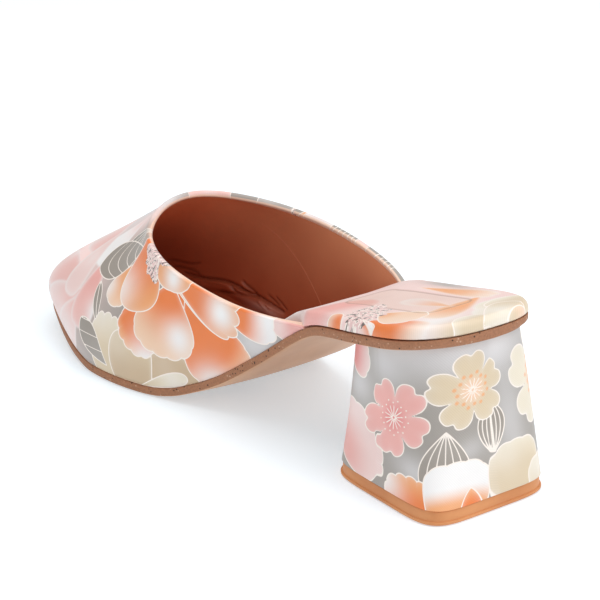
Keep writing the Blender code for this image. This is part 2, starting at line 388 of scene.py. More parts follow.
def petal(cloth, flat, x, y, turn, long, fan, square, lobes, ruffle, deep, pale, fade, glow, soft=0):
    """One petal fanned from a base point: turn and fan in degrees, its edge ruffled in lobes.

    fade: where the deep ink goes over to the pale one; glow: along, across, size and strength of a glow."""
    ahead, aside = moved(flat, x, y, turn)
    spots = np.flatnonzero(np.hypot(ahead, aside) < 1.3 * long + 3)
    ahead, aside = ahead[spots], aside[spots]
    half = radians(fan)

    def shape(p, q):
        side = np.arctan2(q, p) / half
        wave = np.abs(np.sin(0.5 * pi * lobes * (side + 1))) ** 0.7 if lobes else 1
        reach = long * (1 - ruffle + ruffle * wave)
        return (np.hypot(p, q) / reach) ** square + np.abs(side) ** square - 1

    depth = depth_of(shape, ahead, aside)
    share = np.hypot(ahead, aside) / long
    side = np.arctan2(aside, ahead) / half
    colour = mix(deep, pale, ramp(share, *fade))
    along, across, size, strength = glow
    spot = np.hypot(share - along, (side - across) * half * share) * long / size
    colour = mix(colour, WHITE, strength * np.exp(-spot * spot))
    if soft:
        cloth.wash(spots, depth, paled(colour, depth, 0.65, 1.3), soft)
    else:
        cloth.lay(spots, depth, paled(colour, depth, 0.25, 0.9))


def petals(cloth, rows, *flats, soft=0):
    for row in rows:
        for flat in flats:
            petal(cloth, flat, *row, soft=soft)


def blossom(cloth, flat, x, y, turn, wide, tall, inner, outer, dots):
    """A five-petal blossom with notched petals, a ring of stamens and their dots."""
    p = (flat[0] - x) / wide
    q = (flat[1] - y) / tall
    size = 0.5 * (wide + tall)
    spots = np.flatnonzero(np.hypot(p, q) < 1.3)
    p, q = p[spots], q[spots]
    share = np.hypot(p, q)
    angle = np.degrees(np.arctan2(q, p)) - turn

    def shape(pp, qq):
        side = (np.degrees(np.arctan2(qq, pp)) - turn + 36) % 72 / 36 - 1
        notch = 1 - 0.10 * np.exp(-(side / 0.15) ** 2)
        round_end = np.maximum(1 - np.abs(side) ** 3.4, 0.02) ** 0.6
        return np.hypot(pp, qq) - (0.46 + 0.54 * round_end) * notch

    depth = depth_of(shape, p, q) * size
    colour = mix(inner, outer, ramp(share, 0.12, 0.52))
    cloth.lay(spots, depth, paled(colour, depth, 0.25, 1.2))
    r = share * size
    long = 0.30 + 0.06 * np.cos(np.radians(angle * 7))
    step = 360 / 14
    swing = np.radians(angle % step - 0.5 * step) * r
    beyond = np.maximum(np.maximum(share - long, 0.08 - share), 0) * size
    cloth.draw(spots, np.hypot(swing, beyond) * 1.1)
    step = 360 / dots
    turned = (angle + 7) % 360
    swing = np.radians(turned % step - 0.5 * step) * r
    dot = np.hypot(swing, (share - 0.38 - 0.07 * (np.floor(turned / step) % 2)) * size)
    if inner is ROSE:
        cloth.draw(spots, np.maximum(dot - 0.12, 0))
    else:
        cloth.colour[spots] = mix(cloth.colour[spots], APRICOT, 0.75 * ramp(-dot, -0.8, -0.55))
    cloth.draw(spots, np.abs(r - 0.05 * size))


def leaf(cloth, flat, x, y, turn, long, wide, veins, lean, tilt=0):
    """A pointed leaf parted by its midrib and side veins; with no lean the veins run from base to tip, and
    with a lean below nought they bow across it and there is no midrib."""
    along, across = moved(flat, x, y, turn)
    spots = np.flatnonzero(np.hypot(along, across) < 1.2 * long)
    along, across = along[spots], across[spots]
    step = long / veins

    def half_width(share):
        return wide * np.sin(pi * np.clip(share, 0, 1) ** 0.75) ** 0.9

    def shape(p, q):
        past = np.maximum(np.abs(p / long - 0.5) - 0.5, 0)
        return np.abs(q) - half_width(p / long) + 40 * past

    if lean < 0:
        order = (along + tilt * across + 0.05 * lean * across * across) / step + 20
        gap = np.abs(order - np.round(order)) * step
    elif lean > 0:
        order = (along - lean * np.abs(across) + 0.035 * across * across) / step + 20.5
        gap = np.abs(order - np.round(order)) * step * 0.8
    else:
        width = np.maximum(half_width(along / long), 0.1)
        order = np.abs(across) / width * veins
        gap = np.where(np.round(order) > 0, np.abs(order - np.round(order)) * width / veins, FAR)
    cells = 2 * np.clip(np.floor(order).astype(int), 0, 40)
    if lean >= 0:
        cells += across > 0
        gap = np.minimum(gap, np.abs(across))
    colour = mix(LEAF, STONE, 0.5 * ramp(along / long, 0.2, 1.1))
    cloth.lay(spots, depth_of(shape, along, across), colour, cells, gap)


def cloud(cloth, flat, x, y, wide, high, strength, tint=MIST):
    """A soft pale cloud over what is there."""
    cover = strength * mound(*flat, x, y, wide, high)
    cloth.colour = mix(cloth.colour, tint, cover)


def stamens(cloth, flat, x, y, wide, high, turn):
    """The lacy heart of a peony."""
    along, across = moved(flat, x, y, turn)
    wavy = 1 + 0.12 * np.cos(7 * np.arctan2(across, along))
    cloth.lace = np.where(np.hypot(along / wide, across / high) < wavy, 1, cloth.lace)


# Petals: base x, y, turn, long, fan, square, lobes, ruffle, deep ink, pale ink, fade, glow
SAND_PETALS = [
    (-19.5, -50, 90, 50, 15, 3.6, 5, 0.03, SAND, CREAM, (0.7, 1), (0.95, 0.3, 6, 0.2)),
    (31, -60, 92, 50, 17, 4, 3, 0.01, TAN, SAND, (0.7, 1), (0.9, 0, 5, 0.1)),
    (15, -60, 89, 52.5, 19, 4.4, 0, 0, TAN, TAN, (0.7, 1), (0.9, 0.3, 5, 0.1)),
    (-5.5, -60, 90, 56, 15.5, 4.4, 0, 0, TAN, SAND, (0.7, 1), (0.9, 0.5, 7, 0.15)),
    (-1, -24.5, 22, 24, 13, 2.2, 0, 0, SAND, CREAM, (0.1, 0.7), (0.7, 0, 4, 0.3)),
]
PEONY_OUTER = [
    (13, 22, -58, 15, 62, 2.4, 0, 0, ORANGE, ORANGE, (0.5, 1), (0.5, 0, 2, 0)),
    (-17, 20, -100, 17.5, 40, 2.8, 3, 0.03, APRICOT, PEACH, (0.4, 1), (0.8, -0.7, 5, 0.7)),
    (8, 14, -122, 28.5, 37, 3, 7, 0.035, ORANGE, APRICOT, (0.8, 1), (1, 0.62, 9.5, 1)),
    (20, 16, -52, 36.5, 39, 3.2, 7, 0.025, ORANGE, PEACH, (0.7, 1), (0.9, -0.4, 7.5, 0.85)),
    (56, 20, -14, 24, 30, 2.8, 3, 0.04, PETAL, BLUSH, (0.45, 0.7), (0.95, -0.5, 4, 0.7)),
    (34, 20, -3.5, 31, 35, 3, 5, 0.03, ORANGE, WHITE, (0.55, 0.92), (0.9, 0.2, 5, 0.4)),
]
PEONY_INNER = [
    (12, 20, -95, 30, 47, 3.4, 7, 0.03, ORANGE, PEACH, (0.3, 0.92), (0.72, 0.46, 6.5, 0.95)),
    (15, 17.5, -25, 27, 8, 2.2, 0, 0, PEACH, PEACH, (0.3, 1), (0.6, 0, 3, 0.3)),
    (13, 20, -10, 36, 25, 3.4, 5, 0.06, ORANGE, APRICOT, (0.4, 0.9), (0.75, -0.1, 7, 1)),
    (-11, 38, -79, 34.5, 31, 3, 0, 0, ORANGE, APRICOT, (0.5, 1), (0.85, -0.8, 10, 0.75)),
    (12, 40, -91, 24.2, 40, 3.6, 4, 0.01, APRICOT, APRICOT, (0.8, 1), (0.8, 0.05, 5.5, 0.95)),
]
PINK_PETALS = [
    (4, 8, 146, 36, 38, 2.6, 4, 0.03, PINK, PETAL, (0.25, 0.8), (0.8, 0.2, 8, 0.3)),
    (6, -2, 186, 42, 22, 2.6, 4, 0.03, PINK, PETAL, (0.55, 1), (0.7, -0.8, 5, 0.4)),
    (8, -5, 214, 38, 26, 2.6, 4, 0.03, PINK, PETAL, (0.1, 0.7), (0.5, 0.8, 5, 0.4)),
    (8, -8, 258, 22, 44, 2.6, 4, 0.03, PINK, PETAL, (0.1, 0.7), (0.7, 0, 7, 0.4)),
    (9, 12, -77, 31, 25, 3, 3, 0.02, BLUSH, PINK, (0.3, 0.9), (0.8, 0.9, 6, 0.9)),
    (9.5, 34, -98, 28.5, 25, 3, 3, 0.03, PETAL, WHITE, (0.1, 0.6), (0.8, 0, 8, 0.6)),
    (-1, 24, -91, 35, 18, 3.2, 0, 0, PETAL, PETAL, (0.7, 0.95), (0.5, 0, 4, 0.3)),
]
HEEL_LOW = [
    (-66, 11, 38, 22.5, 72, 2.8, 7, 0.04, BLUSH, PETAL, (0.2, 0.8), (0.95, 0.3, 8, 0.2)),
    (-68, 49, -8, 17.5, 36, 3, 3, 0.05, ROSE, PETAL, (0.4, 1), (0.9, 0.2, 4, 0.1)),
]
HEEL_HIGH = [
    (-29.2, -23.5, 98, 38.5, 24, 3.8, 6, 0.025, ORANGE, APRICOT, (0.75, 1), (0.95, 0.75, 7.5, 0.9)),
    (-13.5, -30, 90, 51, 20.5, 4.4, 5, 0.01, APRICOT, WHITE, (0.72, 0.85), (0.95, 0, 8, 0.5)),
    (-6.5, -8, 92, 19, 46, 1.15, 0, 0, ORANGE, APRICOT, (0.7, 1), (0.5, 0, 2, 0)),
    (9.2, -30, 90, 52.5, 15.5, 4.4, 5, 0.01, SAND, CREAM, (0.8, 1.05), (0.9, 0.4, 6, 0.2)),
    (24, -26, 97, 40, 17, 3.4, 4, 0.012, SAND, CREAM, (0.6, 1), (0.9, 0, 6, 0.3)),
]
BED_WASHES = [
    (-12, -28, 46, 38, 42, 2.8, 4, 0.03, SAND, CREAM, (0.5, 1), (0.9, 0.1, 6, 0.3)),
    (28, -18, 108, 33, 20, 2.6, 0, 0, APRICOT, PEACH, (0.55, 1), (0.9, 0.1, 8, 0.1)),
    (25, -2, 2, 24, 18, 2.6, 0, 0, APRICOT, PETAL, (0.1, 0.9), (0.9, 0, 6, 0.3)),
    (60, -16.5, 184, 37, 13, 2.8, 4, 0.03, APRICOT, PEACH, (0.4, 1), (0.9, 0, 6, 0.3)),
    (46, 20, 0, 29, 64, 3.4, 0, 0, PETAL, BLUSH, (0.25, 0.7), (0.5, 0.9, 9, 0.2)),
    (42, 25.5, 185, 32, 20, 3, 0, 0, ORANGE, PEACH, (0.6, 0.95), (1.05, 0, 8, 0.6)),
]
BED_PETALS = [
    (-4, 7, 8, 13.5, 50, 2.8, 3, 0.03, SAND, CREAM, (0.6, 1), (0.9, 0, 4, 0.2)),
    (-2, -14, -6, 21, 50, 2.4, 3, 0.02, SAND, CREAM, (0.7, 1), (0.9, 0, 4, 0.1)),
    (2, 4.5, -67, 22, 27, 2.6, 3, 0.02, CREAM, SAND, (0.4, 1), (0.5, 0, 5, 0.3)),
    (0.5, -3, -77, 14, 18, 2.6, 0, 0, SAND, PEACH, (0.3, 1), (0.9, 0, 4, 0.1)),
    (41.5, 16, 181, 19.5, 42, 3.2, 5, 0.03, APRICOT, PEACH, (0.1, 0.55), (0.95, -0.3, 6, 0.3)),
    (39, 24.4, 165, 8.5, 7, 2.2, 0, 0, WHITE, WHITE, (0.1, 1), (0.5, 0, 4, 0)),
    (48, 27.5, -18, 9.5, 38, 2.8, 3, 0.04, ORANGE, APRICOT, (0.5, 1), (0.9, 0, 3, 0.3)),
]
# Petals that reach the outer topline: distance along the feather line, and height above the topline
RIM_PETALS = [
    (270, -16, 90, 24, 70, 3.4, 4, 0.01, GREY, STONE, (0.3, 1), (0.8, 0.3, 8, 0.2)),
    (220, -30, 92, 40, 34, 3.4, 4, 0.02, PINK, PETAL, (0.7, 1), (0.8, 0, 6, 0.3)),
    (306, -20, 90, 30, 32, 3, 3, 0.02, PINK, WHITE, (0.55, 0.8), (0.9, 0, 6, 0.4)),
    (336, -14, 90, 22, 15, 3, 3, 0.02, PINK, PETAL, (0.55, 0.8), (0.9, 0, 6, 0.4)),
]
# Clouds: x, y, wide, high, strength
HEEL_CLOUDS = [
    (-20, 58, 26, 9, 0.9),
    (-40, 50, 10, 8, 0.7),
    (-57, 38, 8, 7, 0.7),
    (-30, 17, 9, 5, 0.6),
    (5, 57, 14, 8, 0.9),
    (8, 30, 6, 20, 0.5),
    (-8, 24, 6, 4, 0.4),
    (60, 40, 20, 12, 0.7),
]
# Places to draw the vamp's print about, as shares of the feather line, and how far each one's print goes
PATCH_SHARES = np.array([0.22, 0.40, 0.50, 0.74])
PATCH_REACH = 0.33
OUT_OF_REACH = 10 * LENGTH
OTHER_PEONY = (-8, -2, 14)
HEEL_REPEAT = 74


def spread(points, centre, out):
    """Flat places of points on a curved surface about a centre: right and up as seen from outside."""
    up = np.array([0, 0, 1]) - out[2] * out
    up /= np.linalg.norm(up)
    away = points - centre
    a = away @ np.cross(up, out)
    b = away @ up
    stretch = np.linalg.norm(away, axis=1) / np.maximum(np.hypot(a, b), 1e-6)
    return np.stack([a * stretch, b * stretch])


def paint_upper(points, rim):
    """The vamp's print, drawn about its inner side, the toe's side, the toe and its outer side, and along
    the outer topline."""
    halves = np.full(len(PATCH_SHARES), 0.5)
    places = zip(PATCH_SHARES, upper_face(PATCH_SHARES, halves), upper_out(PATCH_SHARES, halves))
    patches = []
    for share, centre, out in places:
        beyond = np.abs(rim[0] / FEATHER_LENGTH - share) > PATCH_REACH
        patches.append(spread(points, centre, out) + OUT_OF_REACH * beyond)
    near, toe, tip, far = patches
    other = moved(far, *OTHER_PEONY)
    other[0] *= -1
    cloth = Cloth(len(points), GREY)
    cloud(cloth, near, 54, 6, 11, 8, 0.8)
    cloud(cloth, far, -30, 5, 16, 12, 0.7)
    cloud(cloth, tip, -12, -20, 20, 12, 0.6)
    cloud(cloth, toe, -14, 4, 30, 34, 1.3, PETAL)
    cloud(cloth, rim, 184, -4, 15, 18, 0.9)
    cloud(cloth, rim, 170, -3, 12, 8, 0.9, PETAL)
    cloud(cloth, near, -18, 40, 4, 5, 1, APRICOT)
    petals(cloth, PINK_PETALS, toe, soft=0.7)
    leaf(cloth, near, -33.5, 9, -62, 17, 2.4, 1, 0)
    petals(cloth, SAND_PETALS, near, other)
    blossom(cloth, tip, -24, -14, 20, 13, 13, PEACH, SAND, 16)
    blossom(cloth, far, 40, -4, 60, 14, 14, ROSE, BLUSH, 16)
    leaf(cloth, far, 34, 6, 60, 24, 8, 5, 0.8)
    leaf(cloth, near, -37, -6.2, -38, 23.5, 4.9, 3, -0.01, -1.3)
    petals(cloth, PEONY_OUTER, near, other)
    leaf(cloth, near, -28.5, 22, 54, 17.5, 5, 2, 0)
    leaf(cloth, near, -40, 14, 28, 29, 8.2, 5, -2.2, -0.1)
    petals(cloth, PEONY_INNER, near, other)
    for flat in (near, other):
        stamens(cloth, flat, -3.5, 24.5, 9, 4.2, -52)
        stamens(cloth, flat, 3, 25.6, 5, 1.8, -8)
    petals(cloth, RIM_PETALS, rim)
    for along in (323, 350):
        leaf(cloth, rim, along, -16, 84, 24, 8, 2, 0)
    return cloth


def paint_heel(flat):
    """The heel's print: run round the heel from the middle of its back, and height."""
    cloth = Cloth(flat.shape[1], GREY)
    for row in HEEL_CLOUDS:
        cloud(cloth, flat, *row)
    petals(cloth, HEEL_LOW, flat)
    leaf(cloth, flat, -17.8, 6, 90, 25.5, 10.5, 3, 0)
    leaf(cloth, flat, -0.3, 38, -88, 17.5, 5.4, 3, 0)
    blossom(cloth, moved(flat, -37.8, 32.4, 35), 0, 0, 15, 17.2, 11.9, ROSE, BLUSH, 18)
    blossom(cloth, flat, 26, 41, 10, 16.5, 18, APRICOT, CREAM, 16)
    blossom(cloth, flat, -8.8, 44, 98, 15.6, 12.9, PEACH, SAND, 16)
    blossom(cloth, flat, 58, 36, 30, 14, 13, ROSE, BLUSH, 16)
    leaf(cloth, flat, 40, 22, 20, 22, 8, 3, 0)
    petals(cloth, HEEL_HIGH, flat, moved(flat, HEEL_REPEAT, 0, 0))
    return cloth


def paint_footbed(flat):
    """The footbed's print, in plan."""
    cloth = Cloth(flat.shape[1], PETAL)
    cloud(cloth, flat, 13, 17, 8, 12, 0.9, WHITE)
    cloud(cloth, flat, 1, 14, 7, 14, 1.2, SAND)
    cloud(cloth, flat, 88, 18, 11, 20, 1, WHITE)
    petals(cloth, BED_WASHES, flat, soft=1)
    cloud(cloth, flat, 53, -23.5, 12, 2.8, 1, STONE)
    petals(cloth, BED_PETALS, flat)
    stamens(cloth, flat, 45, 18, 12.5, 6.8, -58)
    return cloth


# Meshes

SHARP_ANGLE = radians(50)


def to_frame(points):
    return (points - MIDDLE) * MM


def linked(name, data):
    thing = bpy.data.objects.new(name, data)
    bpy.context.scene.collection.objects.link(thing)
    return thing


def skin(name, points):
    """A closed piece from a grid of points: its rows' ends are joined and its columns' ends are capped.

    Gives the piece, and the column and row of the grid at each of the piece's own points."""
    columns, rows = points.shape[0] - 1, points.shape[1] - 1
    bm = bmesh.new()
    bmesh.ops.create_grid(bm, x_segments=columns, y_segments=rows, size=1)
    share = 0.5 + 0.5 * np.array([vert.co[:2] for vert in bm.verts])
    column, row = np.round(share * (columns, rows)).astype(int).T
    spot = bm.verts.layers.int.new("spot")
    for i, (vert, point) in enumerate(zip(bm.verts, to_frame(points[column, row]).tolist())):
        vert.co = point
        vert[spot] = i
    bm.verts.ensure_lookup_table()
    ends = [bm.verts[i] for i in np.flatnonzero((row == 0) | (row == rows))]
    bmesh.ops.remove_doubles(bm, verts=ends, dist=1e-6)
    bmesh.ops.holes_fill(bm, edges=[e for e in bm.edges if e.is_boundary], sides=0)
    bmesh.ops.recalc_face_normals(bm, faces=bm.faces)
    mesh = bpy.data.meshes.new(name)
    bm.to_mesh(mesh)
    bm.free()
    spots = np.zeros(len(mesh.vertices), np.int32)
    mesh.attributes["spot"].data.foreach_get("value", spots)
    mesh.attributes.remove(mesh.attributes["spot"])
    mesh.polygons.foreach_set("use_smooth", np.ones(len(mesh.polygons), bool))
    mesh.set_sharp_from_angle(angle=SHARP_ANGLE)
    return linked(name, mesh), (column[spots], row[spots])


def keep(piece, name, values, kind="FLOAT"):
    """Stores values at a piece's points for its material."""
    values = np.asarray(values, np.float32)
    field = {"FLOAT": "value", "FLOAT_VECTOR": "vector", "FLOAT_COLOR": "color"}[kind]
    if kind == "FLOAT_COLOR":
        values = np.column_stack([values, np.ones(len(values), np.float32)])
    piece.data.attributes.new(name, kind, "POINT").data.foreach_set(field, values.ravel())


def parted(piece, shape):
    """Three signs for each point, by its printed shape: two shapes that meet differ in one sign or more,
    so a signed distance goes through nought exactly on the outline between them."""
    ends = np.zeros(2 * len(piece.data.edges), np.int32)
    piece.data.edges.foreach_get("vertices", ends)
    pairs = np.sort(shape[ends.reshape(-1, 2)], axis=1)
    pairs = np.unique(pairs[pairs[:, 0] != pairs[:, 1]], axis=0)
    meets = {}
    for first, second in pairs.tolist():
        meets.setdefault(first, set()).add(second)
        meets.setdefault(second, set()).add(first)
    lane = {}
    for name in sorted(meets):
        taken = {lane.get(other) for other in meets[name]}
        lane[name] = min(set(range(8)) - taken, default=7)
    names, place = np.unique(shape, return_inverse=True)
    number = np.array([lane.get(name, 0) for name in names.tolist()])[place]
    return 1 - 2 * (number[:, None] >> np.arange(3) & 1)


def wear(piece, cloth, along, up):
    """Puts a printed cloth and the run of its threads on a piece."""
    keep(piece, "print_colour", cloth.colour, "FLOAT_COLOR")
    keep(piece, "print_edge", parted(piece, cloth.shape) * cloth.edge[:, None], "FLOAT_VECTOR")
    keep(piece, "print_drawn", cloth.drawn)
    keep(piece, "print_lace", cloth.lace)
    keep(piece, "thread", np.column_stack([along, up, 0 * up]), "FLOAT_VECTOR")


ROLL = 0.8
FOLD = 0.9
CLOTH_DEPTH = 1
LINING_GAP = 0.08
FACE_ROWS = 128
ROLL_ROWS = 12


def wall_points(share, profile):
    """Points of the upper's wall: profile rows are share of the height, mm above it and depth inside."""
    steps = np.linspace(0, 1, 81)
    run = run_along(upper_face(*np.meshgrid(share, steps, indexing="ij")))
    tall = run[:, -1:]
    level, above, depth = np.array(profile).T
    height = level * (tall - ROLL) + np.maximum(above, -0.35 * tall)
    t = np.stack([np.interp(*rows, steps) for rows in zip(height, run)])
    wide = np.repeat(share[:, None], len(profile), axis=1)
    return upper_face(wide, t), upper_out(wide, t), depth, wide * FEATHER_LENGTH, height


def make_upper():
    profile = [(i / FACE_ROWS, 0, 0) for i in range(FACE_ROWS + 1)]
    for angle in np.linspace(0, pi, ROLL_ROWS + 1)[1:]:
        profile.append((1, ROLL * sin(angle), 0.5 * WALL * (1 - cos(angle))))
    turned = len(profile)
    profile += [(1, -0.3, WALL), (1, -FOLD, WALL)]
    profile += [(1, -FOLD - 0.1, WALL - 0.06), (1, -FOLD - 0.1, CLOTH_DEPTH)]
    profile += [(level, -0.6, CLOTH_DEPTH) for level in (0.8, 0.6, 0.4, 0.2)]
    profile += [(0, 0, CLOTH_DEPTH), (0, 0, 0)]
    share = np.concatenate([np.linspace(0, 0.47, 401), np.linspace(0.47, 1, 241)[1:]])
    face, out, depth, along, height = wall_points(share, profile)
    points = face - depth[:, None] * out
    piece, at = skin("upper_print", points)
    above = height - height[:, [FACE_ROWS]]
    cloth = paint_upper(points[at], np.stack([along[at], above[at]]))
    # The topline's peach edge line, partly its own colour and partly a painted highlight where light
    # catches the fold: on the roll's crest, further round on the outer side, and on the fold's inner lip
    start = 0.30 + 0.34 * ramp(share, 0.40, 0.47)[:, None]
    crest_highlight = 0.9 * ramp(depth / WALL - start, 0, 0.14)
    lip = np.arange(len(profile)) >= turned
    cloth.colour = mix(cloth.colour, PEACH_EDGE_HIGHLIGHT, np.maximum(crest_highlight, lip)[at])
    wear(piece, cloth, along[at], height[at])
    return piece


# Creases low on the lining's outer wall: run (distance along, height), rise (below nought: trough), width
FOLD_LINE = [(233, 5.8), (244, 7.2), (256, 10), (263, 9.6), (271, 9.7), (279, 8.8), (291, 7.6)]
CREASES = [
    (FOLD_LINE, -0.6, 0.7),
    ([(256, 10), (259, 8.6), (261, 7.7), (265, 8.1)], -0.45, 0.6),
    ([(252, 4.1), (259, 6.1), (263, 7), (269, 8.9), (273, 9.4)], -0.45, 0.7),
    ([(261, 13.1), (265, 11.8), (269.5, 10.8), (273, 9.4)], -0.45, 0.6),
    ([(223, 8.9), (228, 10.1), (234, 11), (239, 13.4)], -0.25, 0.8),
    ([(227, 6.8), (233, 8), (238, 8.1), (242, 7)], -0.25, 0.8),
    ([(277, 11.8), (282, 10.5), (287, 9)], -0.45, 0.6),
    ([(282, 12.4), (287.5, 10.5), (292.5, 8.8)], -0.45, 0.6),
    ([(260, 11.9), (265, 10.4), (270, 10)], 0.5, 0.7),
    ([(273, 8.9), (277, 6.9), (281, 6)], 0.5, 0.7),
    ([(277.5, 8.8), (283, 6.8)], 0.5, 0.7),
    ([(246, 6.2), (256, 8), (260, 6.5)], 0.4, 1),
]
# The lining's painted reflection, a pale patch low near the toe: distance along, height, and how wide and
# high it is
LINING_REFLECTION_PATCH = (278, 5.4, 9, 1.8)
# The lining's seam on its outer wall: distance along the shoe and height
LINING_SEAM = [(120, 12), (135.9, 23.5), (148.9, 31.6), (160.7, 37.2), (171.5, 42.2), (190, 50)]


def creased(along, height):
    """How far the creases rise at each place of the lining, and how deep it is in a trough."""
    rise = np.zeros_like(along)
    trough = np.zeros_like(along)
    for run, tall, wide in CREASES:
        x, y = np.array(run, float).T
        aside = height - smooth(x, y)(np.clip(along, x[0], x[-1]))
        fade = span(along, x[0] - 0.5, x[0] + 2, x[-1] - 2, x[-1] + 0.5)
        bump = fade * np.exp(-(aside / wide) ** 2)
        rise += tall * bump
        trough = np.maximum(trough, bump if tall < 0 else 0)
    x, y = np.array(FOLD_LINE, float).T
    under = smooth(x, y)(np.clip(along, x[0], x[-1])) - height
    rise += 1.3 * span(under, 0, 1.2, 3, 6.5) * span(along, 230, 246, 282, 294)
    return rise, trough


def make_lining():
    levels = np.concatenate([np.linspace(1, 0.36, 37), np.linspace(0.36, 0, 57)[1:]])
    profile = [(level, -FOLD * level, WALL - LINING_GAP) for level in levels]
    profile += [(level, -FOLD * level, CLOTH_DEPTH + LINING_GAP) for level in (0, 0.25, 0.5, 0.75, 1)]
    profile.append(profile[0])
    share = np.concatenate([np.linspace(0.014, 0.585, 231), np.linspace(0.585, 0.785, 211)[1:],
                            np.linspace(0.785, 0.986, 81)[1:]])
    face, out, depth, along, height = wall_points(share, profile)
    rise, trough = creased(along, height)
    points = face - (depth + (depth > 0.5 * WALL) * rise)[..., None] * out
    piece, at = skin("upper_lining", points)
    x, y, z = points[at].T
    keep(piece, "seam", 0.88 * (z - smooth(*zip(*LINING_SEAM))(x)))
    keep(piece, "seam_shown", span(x, 126, 138, 168, 182) * (y < 0))
    # Height share for the finish's painted light and shade: low lining is painted darker and high lining
    # lighter, and near the toe it is painted lighter lower down
    toe = span(share, 0.38, 0.48, 0.52, 0.68)
    level = (1 + 0.85 * toe)[:, None] * np.array(profile)[:, 0]
    worn = mound(along, height, *LINING_REFLECTION_PATCH)
    for name, values in (("level", level), ("trough", trough), ("worn", worn)):
        keep(piece, name, values[at])
    return piece


BED_TOP = 136
BED_UNDER = 8
BED_BACK = SEAT_BACK + BED_INSET_SEAT
BED_TIP = LENGTH - BED_INSET_FORE
BED_SIDE = 0.14
SOCK_END = 99
NOSE = 1.9
FRAME_MIDDLE = (48, -1.5)
FRAME_HALF = (18.5, 5.5)
FRAME_CORNER = 5
FRAME_LINE = 0.5
FRAME_BROWN = ink(150, 118, 102)


def bed_inset(x):
    """How far the footbed's outline is inside the sole's: more where it goes into the upper."""
    return BED_INSET_SEAT + (BED_INSET_FORE - BED_INSET_SEAT) * ramp(x, 70, 82)


def bed_outside(x, y):
    """Below nought where a plan point is inside the footbed's outline."""
    left = inner_edge(x) - bed_inset(x)
    right = outer_edge(x) + bed_inset(x)
    across = np.where(y > 0, y / left, y / right)
    across = np.where(x > SEAT_CAP, np.abs(y - 0.5 * (left + right)) / (0.5 * (left - right)), across)
    behind = np.clip((SEAT_CAP - x) / (SEAT_CAP - BED_BACK), 0, None)
    return (np.abs(across) ** SEAT_POWER + behind ** SEAT_POWER) ** (1 / SEAT_POWER) - 1


def make_footbed():
    seat = np.linspace(0, 1, 206) ** 1.5
    fore = np.linspace(0, 1, 96)[1:] ** 0.9
    stations = np.concatenate([BED_BACK + 0.04 + (SOCK_END - BED_BACK) * seat,
                               SOCK_END + (BED_TIP - 0.3 - SOCK_END) * fore])
    swing = np.linspace(-1, 1, BED_TOP + 1)
    top = 0.45 * swing + 0.55 * np.sin(0.5 * pi * swing)
    under = np.sin(0.5 * pi * np.linspace(1, -1, BED_UNDER + 1))[1:]
    across = np.concatenate([top, under])
    is_top = np.arange(len(across)) <= BED_TOP
    x = np.repeat(stations[:, None], len(across), axis=1)
    left, right = [edge(stations, side, bed_inset(stations))[:, None] for side in (1, -1)]
    half = 0.5 * (left - right)
    y = 0.5 * (left + right) + half * across
    thick = BED_SEAT + NOSE * ramp(x, 64, 84) - (BED_SEAT + NOSE - BED_FORE) * ramp(x, 89.5, SOCK_END)
    rise = thick * slant(x) + 0.8 * span(x, 52, 74, 78, 94) * ramp(-y, 6, 24)
    rise += 0.6 * span(x, 72, 86, 89.5, SOCK_END) * ramp(y, 12, 26)
    inside = np.minimum(depth_of(bed_outside, x, y), half * (1 - np.abs(across)))
    firm = np.maximum(ramp(x, 62, 78), ramp(-y, 4, 18) * ramp(x, 16, 34))
    soft = BED_EDGE * np.where(is_top, 1 - 0.5 * firm, 0.45)
    bulge = np.sqrt(1 - (1 - np.clip(inside / soft, 0, 1)) ** 2)
    z = sole_top(x) + 0.05 + rise * (BED_SIDE + np.where(is_top, 1 - BED_SIDE, -BED_SIDE) * bulge)
    beyond = [np.maximum(np.abs(v - middle) - reach, 0)
              for v, middle, reach in zip((x, y), FRAME_MIDDLE, FRAME_HALF)]
    away = np.hypot(*beyond) - FRAME_CORNER
    z -= is_top * (0.22 * np.exp(-(away / FRAME_LINE) ** 2) + 0.10 * ramp(-away, 0, 0.6))
    points = np.stack([x, y, z], axis=-1)
    piece, at = skin("footbed_cover", points)
    flat = points[at][:, :2].T
    away = away[at]
    cloth = paint_footbed(flat)
    cloth.colour = mix(cloth.colour, TAN, 0.22 * ramp(-away, -0.2, 0.4))
    cloth.colour = mix(cloth.colour, FRAME_BROWN, 0.6 * np.exp(-(away / FRAME_LINE) ** 2))
    wear(piece, cloth, *flat)
    keep(piece, "sock", ramp(flat[0], SOCK_END - 0.4, SOCK_END + 0.4))
    return piece


HEEL_COLUMNS = 600
HEEL_ROWS = 150


def make_heel():
    angle = np.linspace(0, 2 * pi, 2881)
    ring = heel_ring(angle, np.full_like(angle, 0.5))
    run = run_along(ring[:, :2])
    around = np.linspace(0, run[-1], HEEL_COLUMNS + 1)
    around, height = np.meshgrid(around, np.linspace(0, 1, HEEL_ROWS + 1))
    points = heel_ring(np.interp(around, run, angle), height)
    piece, at = skin("heel_wrap", points)
    flat = np.stack([around[at] - 0.5 * run[-1], points[at][:, 2]])
    wear(piece, paint_heel(flat), *flat)
    return piece


# Top lift: height, inset
LIFT_ROWS = [(0, 0.7), (0.12, 0.25), (0.4, 0), (1.05, 0), (1.25, 0.12), (1.32, 0.5), (1.6, 0.55),
             (4.7, 0.68), (4.92, 0.78), (5, 1)]
LIFT_STEPS = 240


